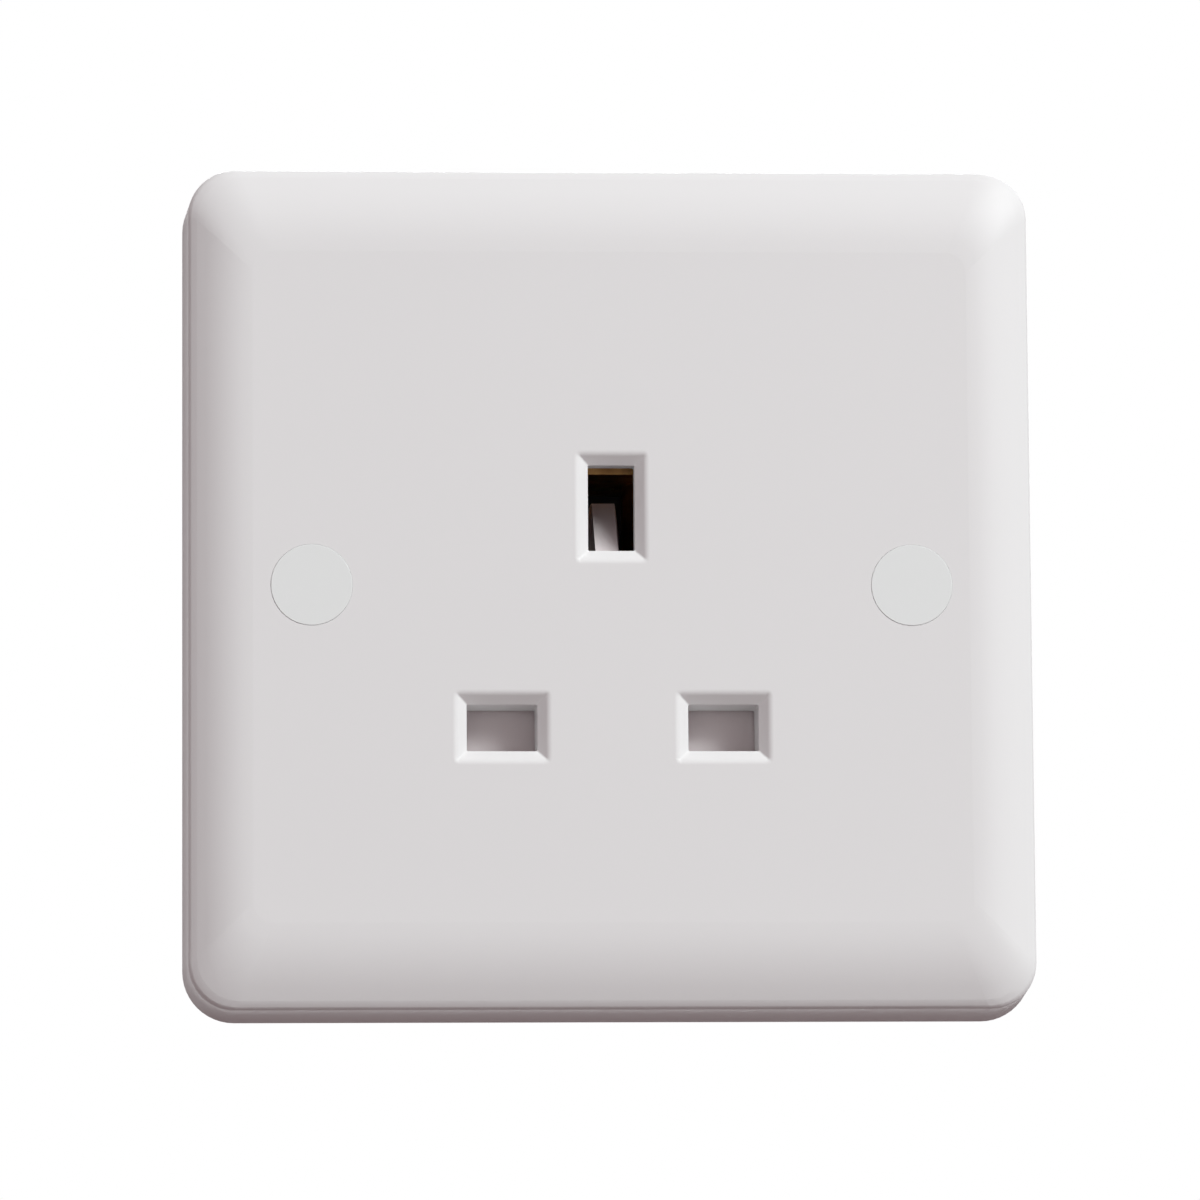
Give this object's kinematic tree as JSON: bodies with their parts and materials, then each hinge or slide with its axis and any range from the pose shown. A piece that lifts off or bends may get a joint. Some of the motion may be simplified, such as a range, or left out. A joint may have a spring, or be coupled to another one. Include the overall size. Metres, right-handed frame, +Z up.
{
  "type": "single wall socket",
  "caption": "Square white wall socket with rolled edges, rectangular pin apertures with a sprung safety shutter, capped fixing holes and a rear housing with brass contacts and terminals.",
  "frame": {"origin": "in the wall plane, midway between the two fixing holes", "axes": "+X to the right seen from the front, +Z up, the face looks along -Y and the wall lies towards +Y"},
  "size_m": [0.086, 0.0255, 0.086],
  "materials": {
    "white_gloss": "gloss",
    "shutter_white": "satin",
    "cover_black": "satin",
    "spring_steel": "drawn",
    "sheet_brass": "rolled",
    "block_brass": "machined",
    "screw_brass": "turned",
    "screw_steel": "plated"
  },
  "bodies": {
    "socket": {"faceplate": "white_gloss", "screw_cap_left": "white_gloss", "screw_cap_right": "white_gloss", "shutter_spring": "spring_steel", "earth_contact": "sheet_brass", "line_contact": "sheet_brass", "neutral_contact": "sheet_brass", "earth_terminal": "block_brass", "line_terminal": "block_brass", "neutral_terminal": "block_brass", "terminal_screws": "screw_brass", "rear_cover": "cover_black", "cover_screws": "screw_steel"},
    "shutter": {"shutter": "shutter_white"}
  },
  "joints": [
    {"name": "shutter_slide", "type": "slide", "parent": "socket", "child": "shutter", "axis": [0, 0, -1], "range_m": [0, 0.0057], "stiffness_N_per_m": 150, "springref_m": -0.008, "deforming": ["shutter_spring"]}
  ]
}
